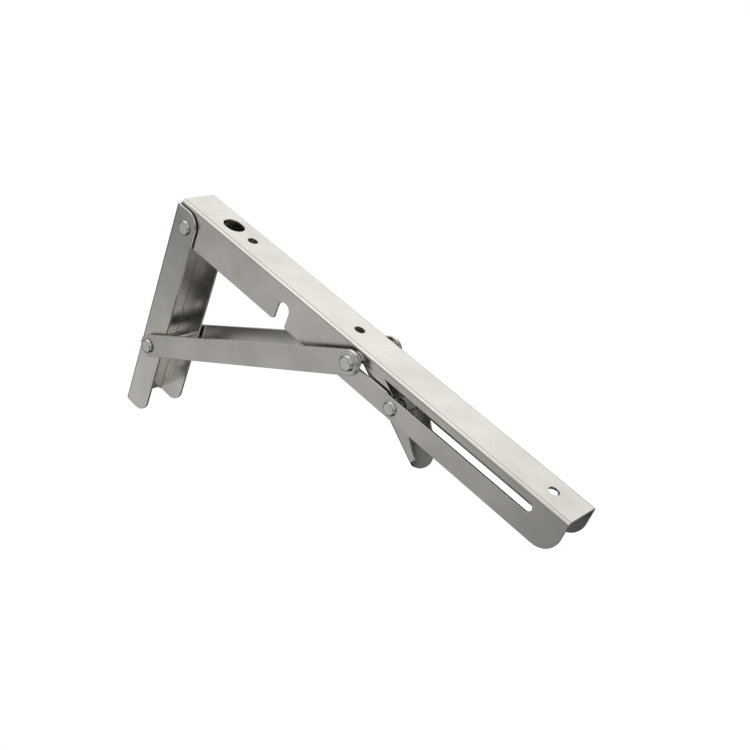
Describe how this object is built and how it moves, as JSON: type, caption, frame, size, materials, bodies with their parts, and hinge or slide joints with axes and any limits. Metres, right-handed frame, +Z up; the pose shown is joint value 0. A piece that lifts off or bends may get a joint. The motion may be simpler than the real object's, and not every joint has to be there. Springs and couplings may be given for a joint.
{
  "type": "folding shelf bracket",
  "caption": "Steel folding shelf bracket: a slotted channel arm hinged on a wall plate, held up by a pair of strut bars and freed by a sprung latch lever under the arm.",
  "frame": {"origin": "on the wall plate's back face, straight behind the top pivot", "axes": "+X out from the wall along the raised arm, +Z up, +Y across the bracket"},
  "size_m": [0.3, 0.0418, 0.1525],
  "materials": {
    "sheet_steel": "satin",
    "rivet_steel": "smooth",
    "spring_wire": "drawn wire"
  },
  "bodies": {
    "plate": {"wall_plate": "sheet_steel", "top_pin": "rivet_steel", "top_washer_near": "sheet_steel", "top_washer_far": "sheet_steel", "lower_pin": "rivet_steel", "lower_tube": "sheet_steel", "lower_washer_near": "sheet_steel", "lower_washer_far": "sheet_steel"},
    "arm": {"shelf_arm": "sheet_steel", "latch_pin": "rivet_steel", "latch_washer_near": "sheet_steel", "latch_washer_far": "sheet_steel", "latch_spring": "spring_wire"},
    "strut": {"strut_bar_near": "sheet_steel", "strut_bar_far": "sheet_steel", "strut_rivet_near": "rivet_steel", "strut_rivet_far": "rivet_steel", "strut_washer_near": "sheet_steel", "strut_washer_far": "sheet_steel"},
    "slider": {"slot_pin": "rivet_steel", "slot_collar_near": "sheet_steel", "slot_collar_far": "sheet_steel"},
    "latch": {"latch_lever": "sheet_steel"}
  },
  "joints": [
    {"name": "arm_fold", "type": "hinge", "parent": "plate", "child": "arm", "pos_m": [0.0118, 0, 0], "axis": [0, 1, 0], "range_deg": [0, 90]},
    {"name": "strut_swing", "type": "hinge", "parent": "plate", "child": "strut", "pos_m": [0.011, 0, -0.0874], "axis": [0, 1, 0], "range_deg": [0, 120.6]},
    {"name": "pin_slide", "type": "slide", "parent": "arm", "child": "slider", "axis": [1, 0, 0], "range_m": [0, 0.11522]},
    {"name": "latch_press", "type": "hinge", "parent": "arm", "child": "latch", "pos_m": [0.187, 0, -0.0041], "axis": [0, -1, 0], "range_deg": [0, 30], "stiffness_Nm_per_rad": 0.3, "deforming": ["latch_spring"]}
  ],
  "couplings": [
    {"joint": "strut_swing", "follows": "arm_fold", "ratio": 1.3396},
    {"joint": "pin_slide", "follows": "arm_fold", "m_per_rad": 0.073333}
  ]
}
